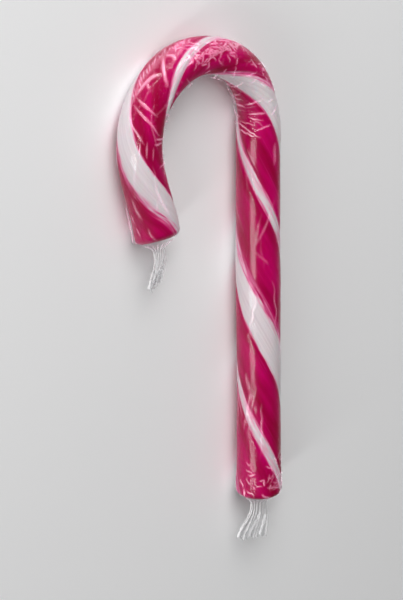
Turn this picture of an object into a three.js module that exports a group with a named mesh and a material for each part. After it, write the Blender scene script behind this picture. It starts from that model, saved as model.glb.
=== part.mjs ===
// A wrapped candy cane, lying on its side. Millimetres, +Z up, the crook in the XY plane, its hook
// towards -X.
//
// Inside is one rod of pulled sugar: a wide white, a coloured, a narrow white and a second coloured band,
// twisted together left-handed, then bent into a crook while warm, which pulls the bend thinner. The bands
// stand a little proud of the seams between them. A clear film is sealed tightly over the whole rod, gathered
// into a flat, pleated tail past each end. The solid is the outside of the film, as one closed bag. So it is
// a single skin lofted through rings of points: foot tail, rod, hook tail.
import * as THREE from "three";

const { clamp, degToRad, euclideanModulo, lerp, smoothstep } = THREE.MathUtils;

// ---- Driving dimensions ----
const ROD_DIAMETER = 12; // of the candy, without its film
const CANE_HEIGHT = 135; // foot of the rod to the top of the crook
const CROOK_RADIUS = 20.7; // of the bend, along the middle of the rod
const HOOK_DROP = 54.4; // top of the crook to the tip of the hook
const TWIST_PITCH = 72; // one turn of a band along the rod
const BAND_AT_HOOK = degToRad(12.5); // where the wide white band lies as the bend ends: 0 is the outer side

// ---- Where the rod turns left more or less than an even bend does: in degrees, over spans past the bend ----
const TURNS = [
  { turn: -2.9, span: [-70, -45] }, // the bend is slower at first
  { turn: 5.6, span: [-34, -15] }, // and tighter past its top
  { turn: -2.7, span: [-20, -3] },
  { turn: 17, span: [-6, 17] }, // the leg leans in towards the stem
  { turn: -8, span: [17, 27] }, // and eases back at its tip
];
const BEND_BLEND = 6; // how gently the bend starts and ends
const BOW = 0.00035; // slow waves in the rod, as curvature per millimetre

// ---- The hook's tip, cut off at a slant ----
const CUT_SLANT = 0.38; // back from the end, per millimetre out from the middle
const CUT_SLANT_ANGLE = degToRad(75); // where the short side is, round the rod
const CUT_SLANT_REACH = 14; // from the tip to where the slant has faded

// ---- The rod's section ----
const ROD_RADIUS = ROD_DIAMETER / 2;
const BEND_THINNING = 0.9; // lost inward and outward in the bend
const THINS_OVER = [-71, -59]; // past the bend
const THICKENS_OVER = [-34, -17];
const TIP_SWELL = 0.3; // gained towards each cut end
const TIP_SWELL_REACH = 15;
const UNEVENNESS = 0.08; // slow waves in the rod's thickness
const REST_FLAT = 0.3; // pressed flat underneath, where the cane lies

// ---- The bands round the rod: wide white, coloured, narrow white, coloured ----
const BAND_WIDTHS = [81, 117, 27, 135]; // degrees
const BAND_CROWNS = [0.16, 0.08, 0.1, 0.1]; // how proud each band's middle stands
const SEAM_DEPTH = 0.2;
const SEAM_HALF_WIDTH = 11.25; // degrees

// ---- The film ----
const FILM_GAP = 0.12;
const FILM_SLACK = 0.5; // it stands off the inner side of the bend
const RIM_ROUNDING = 1.8; // of each cut end
const RIM_TURN = degToRad(60); // how far it follows the rim before it draws in
const SHOULDER_LENGTH = 3.2; // from the rim to the gathered neck
const TAIL_LENGTH = 13;
const NECK_HALF_SIZE = { wide: 2.0, thick: 1.5 };
const EDGE_HALF_SIZE = { wide: 4.2, thick: 0.45 };
const PLEAT_COUNT = 2.5; // across the tail's cut edge
const PLEAT_HEIGHT = 0.8;
const HOOK_TAIL = { quarterTurns: 0.32, lift: -1.4, sway: 2.2 };
const FOOT_TAIL = { quarterTurns: 0.2, lift: 1.2, sway: -2.4 };

// ---- The mesh ----
const COLUMNS = 40; // a column in the middle of each seam between bands
const RING_STEP = 2.4;
const RIM_RINGS = 4;
const SHOULDER_RINGS = 4;
const TAIL_RINGS = 7;
const TRACE_STEP = 0.1;

// ---- Worked out ----
const STEM_LENGTH = CANE_HEIGHT - CROOK_RADIUS - (ROD_RADIUS - BEND_THINNING);
const BEND_END = STEM_LENGTH + Math.PI * CROOK_RADIUS;
const ROD_LENGTH = BEND_END + HOOK_DROP - CROOK_RADIUS - (ROD_RADIUS - BEND_THINNING);
const AXIS_HEIGHT = ROD_RADIUS + FILM_GAP - REST_FLAT;
const UP = new THREE.Vector3(0, 0, 1);

// A turn in degrees spread smoothly over a span, as curvature.
function spreadTurn(along, { turn, span: [from, to] }) {
  const share = clamp((along - from) / (to - from), 0, 1);
  return (degToRad(turn) * (1 - Math.cos(2 * Math.PI * share))) / (to - from);
}

// 1 along the bend, 0 along the stem and the leg.
function bendShare(along) {
  const started = smoothstep(along, STEM_LENGTH - BEND_BLEND, STEM_LENGTH + BEND_BLEND);
  return started * (1 - smoothstep(along, BEND_END - BEND_BLEND, BEND_END + BEND_BLEND));
}

// How sharply the rod turns left, per millimetre.
function curvature(along) {
  let curve = bendShare(along) / CROOK_RADIUS + BOW * Math.sin(0.052 * along + 0.6);
  for (const spread of TURNS) curve += spreadTurn(along - BEND_END, spread);
  return curve;
}

// The middle of the rod from its foot to its tip, as evenly spaced places with a point and a heading.
function traceRod() {
  const steps = Math.round(ROD_LENGTH / TRACE_STEP);
  const step = ROD_LENGTH / steps;
  const point = new THREE.Vector3(0, 0, AXIS_HEIGHT);
  const places = [];
  let heading = Math.PI / 2;
  for (let i = 0; i <= steps; i++) {
    places.push({ point: point.clone(), heading });
    heading += curvature((i + 0.5) * step) * step;
    point.x += Math.cos(heading) * step;
    point.y += Math.sin(heading) * step;
  }
  return places;
}

const rodPlaces = traceRod();

// The middle of the rod at a place along it, with the way it runs and the way to the outer side of the crook.
// Past either end it runs straight on.
function placeAt(along) {
  const inside = clamp(along, 0, ROD_LENGTH);
  const at = (inside / ROD_LENGTH) * (rodPlaces.length - 1);
  const before = rodPlaces[Math.floor(at)];
  const after = rodPlaces[Math.ceil(at)];
  const heading = lerp(before.heading, after.heading, at % 1);
  const forward = new THREE.Vector3(Math.cos(heading), Math.sin(heading), 0);
  const outward = new THREE.Vector3(Math.sin(heading), -Math.cos(heading), 0);
  const middle = before.point.clone().lerp(after.point, at % 1);
  return { middle: middle.addScaledVector(forward, along - inside), forward, outward };
}

// Where a column lies round the bands, in degrees from the middle of the wide white one, on whose border the
// first column runs.
function columnAngle(column) {
  return (360 * column) / COLUMNS - BAND_WIDTHS[0] / 2;
}

// How far the candy stands out at an angle from the middle of its wide white band, in degrees.
function bandRelief(angle) {
  let past = euclideanModulo(angle + BAND_WIDTHS[0] / 2, 360);
  let band = 0;
  while (past >= BAND_WIDTHS[band]) past -= BAND_WIDTHS[band++];
  const width = BAND_WIDTHS[band];
  const toSeam = Math.min(past, width - past) / SEAM_HALF_WIDTH;
  const seam = toSeam < 1 ? (1 + Math.cos(Math.PI * toSeam)) / 2 : 0;
  return BAND_CROWNS[band] * Math.sin((Math.PI * past) / width) - SEAM_DEPTH * seam;
}

// How far the bands have turned round the rod, in radians, from its outer side over its top.
function twistAt(along) {
  return BAND_AT_HOOK + (2 * Math.PI * (clamp(along, 0, ROD_LENGTH) - BEND_END)) / TWIST_PITCH;
}

// Half the candy's size across the plane of the crook, and in it.
function halfSizes(along) {
  const toTip = Math.min(along, ROD_LENGTH - along);
  const swell = TIP_SWELL * (1 - smoothstep(toTip, 0, TIP_SWELL_REACH));
  const waves = (Math.sin(0.11 * along + 1) + 0.6 * Math.sin(0.29 * along + 2.2)) / 1.6;
  const across = ROD_RADIUS + swell + UNEVENNESS * waves;
  const pastBend = along - BEND_END;
  const thin = smoothstep(pastBend, ...THINS_OVER) * (1 - smoothstep(pastBend, ...THICKENS_OVER));
  return { across, inPlane: across - BEND_THINNING * thin };
}

// Shifts a point of the hook's tip along the rod, as far as the cut's slant has reached it.
function slantPoint(point, { middle, forward, outward }, share) {
  const out = point.clone().sub(middle);
  const towardsShort = out.dot(outward) * Math.cos(CUT_SLANT_ANGLE) + out.z * Math.sin(CUT_SLANT_ANGLE);
  return point.addScaledVector(forward, -CUT_SLANT * towardsShort * share);
}

// The film's ring round the rod. A share below 1 draws it in towards the middle, as at a rounded end.
function rodRing(along, share) {
  const place = placeAt(along);
  const { middle, outward } = place;
  const { across, inPlane } = halfSizes(along);
  const twist = twistAt(along);
  const ring = [];
  for (let column = 0; column < COLUMNS; column++) {
    const bandAngle = columnAngle(column);
    const angle = degToRad(bandAngle) + twist;
    const slack = FILM_SLACK * bendShare(along) * Math.max(0, -Math.cos(angle)) ** 2;
    const lift = bandRelief(bandAngle) * share + FILM_GAP + slack;
    const point = middle.clone();
    point.addScaledVector(outward, Math.cos(angle) * (inPlane * share + lift));
    point.addScaledVector(UP, Math.sin(angle) * (across * share + lift));
    point.z = Math.max(point.z, 0);
    ring.push(slantPoint(point, place, smoothstep(along, ROD_LENGTH - CUT_SLANT_REACH, ROD_LENGTH)));
  }
  return ring;
}

// A ring of the gathered tail, at a reach past the rod's rim. It has as many columns as the rod, and the same
// column always lies on its edge, so that its two faces are pleated alike.
function tailRing(atHook, reach) {
  const tail = atHook ? HOOK_TAIL : FOOT_TAIL;
  const along = atHook ? ROD_LENGTH : 0;
  const place = placeAt(along);
  const { forward, outward } = place;
  const middle = place.middle.clone();
  const away = forward.clone().multiplyScalar(atHook ? 1 : -1);
  const twist = twistAt(along);
  const edgeTurn = (tail.quarterTurns * Math.PI) / 2 - twist - degToRad(columnAngle(0));
  const edgeColumn = Math.round(edgeTurn / degToRad(360 / COLUMNS));
  const edgeAngle = twist + degToRad(columnAngle(edgeColumn));
  const wide = outward.clone().multiplyScalar(Math.cos(edgeAngle)).addScaledVector(UP, Math.sin(edgeAngle));
  const thick = outward.clone().multiplyScalar(-Math.sin(edgeAngle)).addScaledVector(UP, Math.cos(edgeAngle));

  const gathered = clamp(reach / SHOULDER_LENGTH, 0, 1);
  const fanned = smoothstep(reach, SHOULDER_LENGTH, TAIL_LENGTH);
  const drawnIn = (1 - gathered) ** 2;
  const rimRadius = rimShare(RIM_TURN) * halfSizes(along).across + FILM_GAP;
  const halfWide = lerp(lerp(NECK_HALF_SIZE.wide, EDGE_HALF_SIZE.wide, fanned), rimRadius, drawnIn);
  const halfThick = lerp(lerp(NECK_HALF_SIZE.thick, EDGE_HALF_SIZE.thick, fanned), rimRadius, drawnIn);
  middle.addScaledVector(away, reach - rimInset(RIM_TURN));
  middle.addScaledVector(wide, tail.sway * fanned ** 2);
  middle.addScaledVector(thick, tail.lift * fanned ** 2);

  const ring = [];
  for (let column = 0; column < COLUMNS; column++) {
    const angle = (2 * Math.PI * (column - edgeColumn)) / COLUMNS;
    const side = Math.cos(angle);
    const pleat = PLEAT_HEIGHT * fanned * Math.sin(side * PLEAT_COUNT * Math.PI);
    const point = middle.clone().addScaledVector(wide, side * halfWide);
    point.addScaledVector(thick, Math.sin(angle) * halfThick + pleat);
    ring.push(slantPoint(point, place, atHook ? drawnIn : 0));
  }
  return { ring, edgeColumn: euclideanModulo(edgeColumn, COLUMNS) };
}

// The rounded rim of a cut end: how far in from the end it is, and its share of the full section.
function rimInset(turn) {
  return RIM_ROUNDING * (1 - Math.sin(turn));
}

function rimShare(turn) {
  return 1 - (RIM_ROUNDING / ROD_RADIUS) * (1 - Math.cos(turn));
}

// One end of the bag, from the tail's cut edge to the last full section of the rod.
function endRings(atHook) {
  const rings = [];
  for (let i = TAIL_RINGS; i > 0; i--) {
    const reach = lerp(SHOULDER_LENGTH, TAIL_LENGTH, i / TAIL_RINGS);
    rings.push(tailRing(atHook, reach));
  }
  for (let i = SHOULDER_RINGS; i > 0; i--) {
    rings.push(tailRing(atHook, (SHOULDER_LENGTH * i) / SHOULDER_RINGS));
  }
  for (let i = RIM_RINGS; i > 0; i--) {
    const turn = (RIM_TURN * i) / RIM_RINGS;
    const inset = rimInset(turn);
    rings.push({ ring: rodRing(atHook ? ROD_LENGTH - inset : inset, rimShare(turn)) });
  }
  return rings;
}

// The cut edge of a tail: a strip between its two faces, from one edge column to the other.
function edgeFaces(start, edgeColumn, facesBack) {
  const faces = [];
  const at = (column) => start + euclideanModulo(edgeColumn + column, COLUMNS);
  const add = (a, b, c) => faces.push(...(facesBack ? [a, c, b] : [a, b, c]));
  for (let column = 0; column < COLUMNS / 2; column++) {
    const [upper, nextUpper] = [at(column), at(column + 1)];
    const [lower, nextLower] = [at(-column), at(-column - 1)];
    if (column > 0) add(upper, nextUpper, lower);
    if (column < COLUMNS / 2 - 1) add(nextUpper, nextLower, lower);
  }
  return faces;
}

// The whole bag, skinned from the foot tail's edge to the hook tail's.
function bagGeometry() {
  const foot = endRings(false);
  const hook = endRings(true).reverse();
  const plainLength = ROD_LENGTH - 2 * RIM_ROUNDING;
  const steps = Math.round(plainLength / RING_STEP);
  const plain = [];
  for (let i = 0; i <= steps; i++) {
    plain.push({ ring: rodRing(RIM_ROUNDING + (plainLength * i) / steps, 1) });
  }
  const rings = [...foot, ...plain, ...hook];

  const faces = edgeFaces(0, foot[0].edgeColumn, false);
  faces.push(...edgeFaces((rings.length - 1) * COLUMNS, hook.at(-1).edgeColumn, true));
  for (let ring = 0; ring < rings.length - 1; ring++) {
    for (let column = 0; column < COLUMNS; column++) {
      const a = ring * COLUMNS + column;
      const b = ring * COLUMNS + ((column + 1) % COLUMNS);
      faces.push(a, a + COLUMNS, b, b, a + COLUMNS, b + COLUMNS);
    }
  }
  const geometry = new THREE.BufferGeometry().setFromPoints(rings.flatMap(({ ring }) => ring));
  geometry.setIndex(faces);
  geometry.computeVertexNormals();
  return geometry;
}

const wrappedCane = new THREE.Mesh(
  bagGeometry(),
  new THREE.MeshStandardMaterial({ name: "candy", color: 0xc4185a, roughness: 0.2, metalness: 0 }),
);
wrappedCane.name = "wrapped_candy_cane";

// The origin is under the middle of the whole, on the surface that it lies on.
const middle = new THREE.Box3().setFromObject(wrappedCane).getCenter(new THREE.Vector3());
wrappedCane.position.set(-middle.x, -middle.y, 0);

const model = new THREE.Group();
model.add(wrappedCane);

export default model;
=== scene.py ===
"""A twisted candy cane in its clear film, lying on its side on a pale floor.

Shapes are worked out in millimetres along the rod, from its foot to the tip of its hook, and become meshes in
metres. Round the rod, an angle of 0 is the outer side of the crook, and a quarter turn is the top as it lies.
"""

import logging
import math
from dataclasses import dataclass
from enum import Enum

import bpy
import numpy as np
from mathutils import Matrix, Vector, noise


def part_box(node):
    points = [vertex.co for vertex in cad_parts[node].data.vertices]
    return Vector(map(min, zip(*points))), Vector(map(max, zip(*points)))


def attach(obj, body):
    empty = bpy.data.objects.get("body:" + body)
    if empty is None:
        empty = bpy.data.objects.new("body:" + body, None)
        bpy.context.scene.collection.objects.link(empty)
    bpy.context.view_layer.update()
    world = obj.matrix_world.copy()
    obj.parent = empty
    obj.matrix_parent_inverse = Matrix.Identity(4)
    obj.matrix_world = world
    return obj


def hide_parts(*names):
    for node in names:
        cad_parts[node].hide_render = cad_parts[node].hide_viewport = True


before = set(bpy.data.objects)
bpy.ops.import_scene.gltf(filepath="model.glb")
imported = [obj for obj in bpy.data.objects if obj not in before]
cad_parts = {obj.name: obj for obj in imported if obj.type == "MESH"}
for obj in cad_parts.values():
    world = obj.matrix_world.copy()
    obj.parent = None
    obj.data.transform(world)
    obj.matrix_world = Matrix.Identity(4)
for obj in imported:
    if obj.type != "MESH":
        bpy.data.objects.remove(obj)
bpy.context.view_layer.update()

log = logging.getLogger("candy_cane")

NODE = "wrapped_candy_cane"
BODY = "root"
METRES = 0.001
UP = np.array([0.0, 0.0, 1.0])
QUARTER_TURN = math.pi / 2
HALF_TURN = math.pi
FULL_TURN = 2 * math.pi

Span = tuple[float, float]
Stops = tuple[Span, ...]
Colour = tuple[float, float, float, float]
Socket = bpy.types.NodeSocket
Feed = Socket | float | tuple[float, ...]
Inputs = dict[str | int, Feed]


class End(Enum):
    """Which cut end of the rod: its value is the way out of the rod, along it."""

    FOOT = -1
    HOOK = 1


class Slot(Enum):
    """The record's material slots."""

    CANDY = "candy"
    FILM = "film"


class Maths(Enum):
    """What a maths node works out."""

    ADD = "ADD"
    SUBTRACT = "SUBTRACT"
    MULTIPLY = "MULTIPLY"
    FRACTION = "FRACT"
    COSINE = "COSINE"
    SINE = "SINE"


class Blending(Enum):
    """How one colour is laid over another."""

    MIX = "MIX"
    MULTIPLY = "MULTIPLY"


def smoothstep(value: np.ndarray, low: float, high: float) -> np.ndarray:
    """Rises smoothly from 0 at low to 1 at high."""
    share = np.clip((np.asarray(value, float) - low) / (high - low), 0, 1)
    return share * share * (3 - 2 * share)


def mix(low: np.ndarray, high: np.ndarray, share: np.ndarray) -> np.ndarray:
    """Goes evenly from low to high as share goes from 0 to 1."""
    return low + (high - low) * share


def nearest_turn(angle: np.ndarray) -> np.ndarray:
    """The same angle, brought to within half a turn of 0."""
    return np.mod(angle + HALF_TURN, FULL_TURN) - HALF_TURN


@dataclass(frozen=True)
class Wave:
    """A sine wave: its height, how many radians it turns over each unit, and how far on it starts."""

    height: float
    pace: float
    phase: float = 0.0

    def at(self, place: np.ndarray) -> np.ndarray:
        """How high it is at each place."""
        return self.height * np.sin(self.pace * place + self.phase)


@dataclass(frozen=True)
class Bend:
    """A bend to the left, in degrees, added smoothly over a span that is measured from the crook's end."""

    degrees: float
    start: float
    end: float

    def curvature(self, past_bend: np.ndarray) -> np.ndarray:
        """How sharply it turns the rod at each distance from the crook's end, per millimetre."""
        share = np.clip((past_bend - self.start) / (self.end - self.start), 0, 1)
        return math.radians(self.degrees) * (1 - np.cos(FULL_TURN * share)) / (self.end - self.start)


@dataclass(frozen=True)
class Places:
    """Places along the rod: their middles, the way it runs and the way to its outer side, all N by 3."""

    middle: np.ndarray
    forward: np.ndarray
    outward: np.ndarray


@dataclass(frozen=True)
class Route:
    """The middle line of the rod, in the plane that the cane lies in.

    The stem runs up to the crook, which turns left through half a circle, slower at first and tighter past
    its top. The leg leans in towards the stem and eases back at its tip. The whole rod bows a little.
    """

    cane_height: float = 135.0
    crook_radius: float = 20.7
    hook_drop: float = 54.4
    crown_half_size: float = 5.1
    axis_height: float = 5.82
    bend_blend: float = 6.0
    slow_start: Bend = Bend(-2.9, -70.0, -45.0)
    tight_top: Bend = Bend(5.6, -34.0, -15.0)
    slow_end: Bend = Bend(-2.7, -20.0, -3.0)
    leg_lean: Bend = Bend(17.0, -6.0, 17.0)
    tip_easing: Bend = Bend(-8.0, 17.0, 27.0)
    bow: Wave = Wave(0.00035, 0.052, 0.6)
    trace_step: float = 0.1

    @property
    def stem_length(self) -> float:
        """From the foot to where the bend starts."""
        return self.cane_height - self.crook_radius - self.crown_half_size

    @property
    def crown(self) -> float:
        """From the foot to the middle of the bend."""
        return self.stem_length + QUARTER_TURN * self.crook_radius

    @property
    def bend_end(self) -> float:
        """From the foot to where the bend ends."""
        return self.stem_length + HALF_TURN * self.crook_radius

    @property
    def length(self) -> float:
        """From the foot to the tip of the hook."""
        return self.bend_end + self.hook_drop - self.crook_radius - self.crown_half_size

    def bend_share(self, along: np.ndarray) -> np.ndarray:
        """Tells the bend from the straight parts.

        Args:
            along: Distances from the foot.

        Returns:
            1 along the bend and 0 along the stem and the leg.
        """
        blend = self.bend_blend
        started = smoothstep(along, self.stem_length - blend, self.stem_length + blend)
        return started * (1 - smoothstep(along, self.bend_end - blend, self.bend_end + blend))

    def curvature(self, along: np.ndarray) -> np.ndarray:
        """Works out how sharply the rod turns.

        Args:
            along: Distances from the foot.

        Returns:
            The turn to the left at each distance, in radians per millimetre.
        """
        curve = self.bend_share(along) / self.crook_radius + self.bow.at(along)
        for bend in (self.slow_start, self.tight_top, self.slow_end, self.leg_lean, self.tip_easing):
            curve = curve + bend.curvature(along - self.bend_end)
        return curve

    def places(self, along: np.ndarray) -> Places:
        """Finds places along the rod, which runs straight on past its ends.

        Args:
            along: Distances from the foot.

        Returns:
            The place at each distance.
        """
        steps = round(self.length / self.trace_step)
        step = self.length / steps
        turns = self.curvature((np.arange(steps) + 0.5) * step) * step
        headings = QUARTER_TURN + np.concatenate([[0], np.cumsum(turns)])
        track = np.concatenate([[0], np.cumsum(np.exp(1j * headings[1:])) * step])
        marks = np.arange(steps + 1) * step
        inside = np.clip(along, 0, self.length)
        heading = np.interp(inside, marks, headings)
        level = np.zeros_like(heading)
        forward = np.stack([np.cos(heading), np.sin(heading), level], axis=-1)
        outward = np.stack([np.sin(heading), -np.cos(heading), level], axis=-1)
        x = np.interp(inside, marks, track.real)
        y = np.interp(inside, marks, track.imag)
        middle = np.stack([x, y, level + self.axis_height], axis=-1)
        return Places(middle + forward * (along - inside)[:, None], forward, outward)


@dataclass(frozen=True)
class Section:
    """The rod across its length: its thickness, its twisted bands, its rims and the slanted cut of its hook.

    The bands are a wide white, a coloured, a narrow white and a second coloured one. Their widths, and half
    a seam's, are in degrees round the rod. The rod thins over one span and thickens over another, both
    measured from the end of the bend.
    """

    route: Route
    radius: float = 6.0
    bend_thinning: float = 0.9
    thins_over: Span = (-71.0, -59.0)
    thickens_over: Span = (-34.0, -17.0)
    tip_swell: float = 0.3
    tip_swell_reach: float = 15.0
    uneven_waves: tuple[Wave, ...] = (Wave(0.05, 0.11, 1.0), Wave(0.03, 0.29, 2.2))
    band_widths: tuple[float, ...] = (81.0, 117.0, 27.0, 135.0)
    band_crowns: tuple[float, ...] = (0.16, 0.08, 0.1, 0.1)
    seam_depth: float = 0.2
    seam_half_width: float = 11.25
    twist_pitch: float = 72.0
    band_at_hook: float = math.radians(12.5)
    rim_rounding: float = 1.8
    cut_slant: float = 0.38
    cut_slant_angle: float = math.radians(75)
    cut_slant_reach: float = 14.0

    def twist(self, along: np.ndarray) -> np.ndarray:
        """How far the bands have turned round the rod, in radians."""
        inside = np.clip(along, 0, self.route.length)
        return self.band_at_hook + FULL_TURN * (inside - self.route.bend_end) / self.twist_pitch

    def half_sizes(self, along: np.ndarray) -> tuple[np.ndarray, np.ndarray]:
        """Works out how thick the rod is.

        Args:
            along: Distances from the foot.

        Returns:
            Half its size across the plane of the crook, and in that plane.
        """
        to_tip = np.minimum(along, self.route.length - along)
        swell = self.tip_swell * (1 - smoothstep(to_tip, 0, self.tip_swell_reach))
        across = self.radius + swell + sum(wave.at(along) for wave in self.uneven_waves)
        past_bend = along - self.route.bend_end
        thin = smoothstep(past_bend, *self.thins_over) * (1 - smoothstep(past_bend, *self.thickens_over))
        return across, across - self.bend_thinning * thin

    def relief(self, band_angle: np.ndarray) -> np.ndarray:
        """How far the bands stand out.

        Args:
            band_angle: Degrees from the middle of the wide white band.

        Returns:
            The height of the surface over a plain round rod.
        """
        borders = np.concatenate([[0], np.cumsum(self.band_widths)])
        past = np.mod(band_angle + self.band_widths[0] / 2, borders[-1])
        band = np.clip(np.searchsorted(borders, past, side="right") - 1, 0, len(self.band_widths) - 1)
        width = np.array(self.band_widths)[band]
        into = past - borders[band]
        to_seam = np.minimum(into, width - into) / self.seam_half_width
        seam = (1 + np.cos(math.pi * np.minimum(to_seam, 1))) / 2
        return np.array(self.band_crowns)[band] * np.sin(math.pi * into / width) - self.seam_depth * seam

    def rim_inset(self, turn: np.ndarray) -> np.ndarray:
        """How far in from the cut end the rim is, once it has turned that far inwards."""
        return self.rim_rounding * (1 - np.sin(turn))

    def rim_share(self, turn: np.ndarray) -> np.ndarray:
        """The rim's share of the full section, once it has turned that far inwards."""
        return 1 - (self.rim_rounding / self.radius) * (1 - np.cos(turn))

    def skin(self, along: np.ndarray, share: np.ndarray, angle: np.ndarray, lift: np.ndarray) -> np.ndarray:
        """Places points on rings round the rod.

        Args:
            along: One distance from the foot for each ring.
            share: Each ring's share of the full section.
            angle: Each point's angle round the rod, a row for each ring.
            lift: How far each point is off the bands.

        Returns:
            The points, one row of them for each ring.
        """
        places = self.route.places(along)
        across, in_plane = self.half_sizes(along)
        proud = self.relief(np.degrees(angle - self.twist(along)[:, None])) * share[:, None] + lift
        sideways = np.cos(angle) * ((in_plane * share)[:, None] + proud)
        upwards = np.sin(angle) * ((across * share)[:, None] + proud)
        slid = self.slant_share(along)[:, None] * self.slid_back(sideways, upwards)
        points = places.middle[:, None] + sideways[..., None] * places.outward[:, None]
        points = points + upwards[..., None] * UP
        return points - slid[..., None] * places.forward[:, None]

    def slant_share(self, along: np.ndarray) -> np.ndarray:
        """How much of the slant of the hook's cut end has reached each distance."""
        return smoothstep(along, self.route.length - self.cut_slant_reach, self.route.length)

    def slid_back(self, sideways: np.ndarray, upwards: np.ndarray) -> np.ndarray:
        """How far back from the tip the slant puts points of the cut end, less than 0 on its long side."""
        towards_short = sideways * math.cos(self.cut_slant_angle) + upwards * math.sin(self.cut_slant_angle)
        return self.cut_slant * towards_short


@dataclass(frozen=True)
class Skin:
    """Meshes made from rings of points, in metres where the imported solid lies.

    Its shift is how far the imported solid's frame is from the rod's own, in millimetres.
    """

    shift: np.ndarray

    def quads(self, rings: int, columns: int) -> list[list[int]]:
        """Joins rings that each close on themselves.

        Args:
            rings: How many rings there are.
            columns: How many points each has.

        Returns:
            The points of each face, ring by ring.
        """
        starts = np.arange(rings - 1)[:, None] * columns
        here = np.arange(columns)[None]
        beside = (here + 1) % columns
        faces = [starts + here, starts + columns + here, starts + columns + beside, starts + beside]
        return np.stack(faces, axis=-1).reshape(-1, 4).tolist()

    def piece(self, name: str, points: np.ndarray, faces: list[list[int]]) -> bpy.types.Object:
        """Makes one smooth piece.

        Args:
            name: The piece's name.
            points: Its points in the rod's frame, N by 3.
            faces: The points of each face.

        Returns:
            The piece, in the scene.
        """
        mesh = bpy.data.meshes.new(name)
        mesh.from_pydata(((points + self.shift) * METRES).tolist(), [], faces)
        mesh.shade_smooth()
        piece = bpy.data.objects.new(name, mesh)
        bpy.context.scene.collection.objects.link(piece)
        return piece


class Wiring:
    """The nodes of a material or of the surround, added one at a time and joined."""

    def __init__(
        self, owner: bpy.types.Material | bpy.types.World, output: str = "ShaderNodeOutputMaterial"
    ) -> None:
        """Starts with only the output.

        Args:
            owner: The material or the world to wire.
            output: Blender's name for the type of its output node.
        """
        owner.use_nodes = True
        self.owner = owner
        self.tree = owner.node_tree
        self.tree.nodes.clear()
        self.output = self.add(output)

    def add(self, kind: str, inputs: Inputs | None = None, **settings: object) -> bpy.types.Node:
        """Adds a node.

        Args:
            kind: Blender's name for the type of node.
            inputs: Each input by name or number, as a constant or as the socket that feeds it.
            **settings: The node's own settings.

        Returns:
            The node.
        """
        node = self.tree.nodes.new(kind)
        for setting, value in settings.items():
            setattr(node, setting, value)
        for name, value in (inputs or {}).items():
            self.feed(node.inputs[name], value)
        return node

    def feed(self, socket: Socket, value: Feed) -> None:
        """Gives an input its constant, or joins it to the socket that feeds it.

        Args:
            socket: The input.
            value: The constant or the socket.
        """
        if isinstance(value, Socket):
            self.tree.links.new(value, socket)
        else:
            socket.default_value = value

    def finish(self, shader: bpy.types.Node) -> bpy.types.Material | bpy.types.World:
        """Joins the last shader to the output, and gives the finished material or world."""
        self.feed(self.output.inputs["Surface"], shader.outputs[0])
        return self.owner

    def maths(self, operation: Maths, *values: Feed) -> Socket:
        """Works out a number.

        Args:
            operation: What is worked out.
            *values: What from, as constants or sockets.

        Returns:
            The socket with the result.
        """
        node = self.add("ShaderNodeMath", operation=operation.value)
        for socket, value in zip(node.inputs, values):
            self.feed(socket, value)
        return node.outputs[0]

    def plus(self, first: Feed, second: Feed) -> Socket:
        """Adds the two."""
        return self.maths(Maths.ADD, first, second)

    def minus(self, first: Feed, second: Feed) -> Socket:
        """Takes the second from the first."""
        return self.maths(Maths.SUBTRACT, first, second)

    def times(self, first: Feed, second: Feed) -> Socket:
        """Multiplies the two."""
        return self.maths(Maths.MULTIPLY, first, second)

    def blend(self, share: Feed, low: Feed, high: Feed, way: Blending = Blending.MIX) -> Socket:
        """Lays a share of the second colour over the first."""
        inputs = {0: share, 6: low, 7: high}
        return self.add("ShaderNodeMix", inputs, data_type="RGBA", blend_type=way.value).outputs[2]

    def noise(self, vector: Socket, scale: float, layers: float = 2.0, strength: float = 0.5) -> Socket:
        """Makes soft random patches, so many to a unit, with finer layers of that strength."""
        inputs = {"Vector": vector, "Scale": scale, "Detail": layers, "Roughness": strength}
        return self.add("ShaderNodeTexNoise", inputs).outputs["Fac"]

    def ramp(self, share: Socket, stops: Stops) -> Socket:
        """Reads a grey level between stops.

        Args:
            share: Where to read it.
            stops: Places from 0 to 1, each with its level.

        Returns:
            The socket with the level.
        """
        node = self.add("ShaderNodeValToRGB", {"Fac": share})
        elements = node.color_ramp.elements
        while len(elements) < len(stops):
            elements.new(1.0)
        for element, (position, level) in zip(elements, stops):
            element.position = position
            element.color = (level, level, level, 1.0)
        return node.outputs["Color"]


@dataclass(frozen=True)
class Grain:
    """Grain in the sugar: how fine it is round and along the rod, its finer layers and their strength."""

    round_rod: float
    along_rod: float
    layers: float
    strength: float = 0.5


@dataclass(frozen=True)
class BandPlace:
    """Where the sugar is read: the turn round the bands from 0 to 1, its cosine and sine, and the length."""

    turn: Socket
    cosine: Socket
    sine: Socket
    length: Socket


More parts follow.
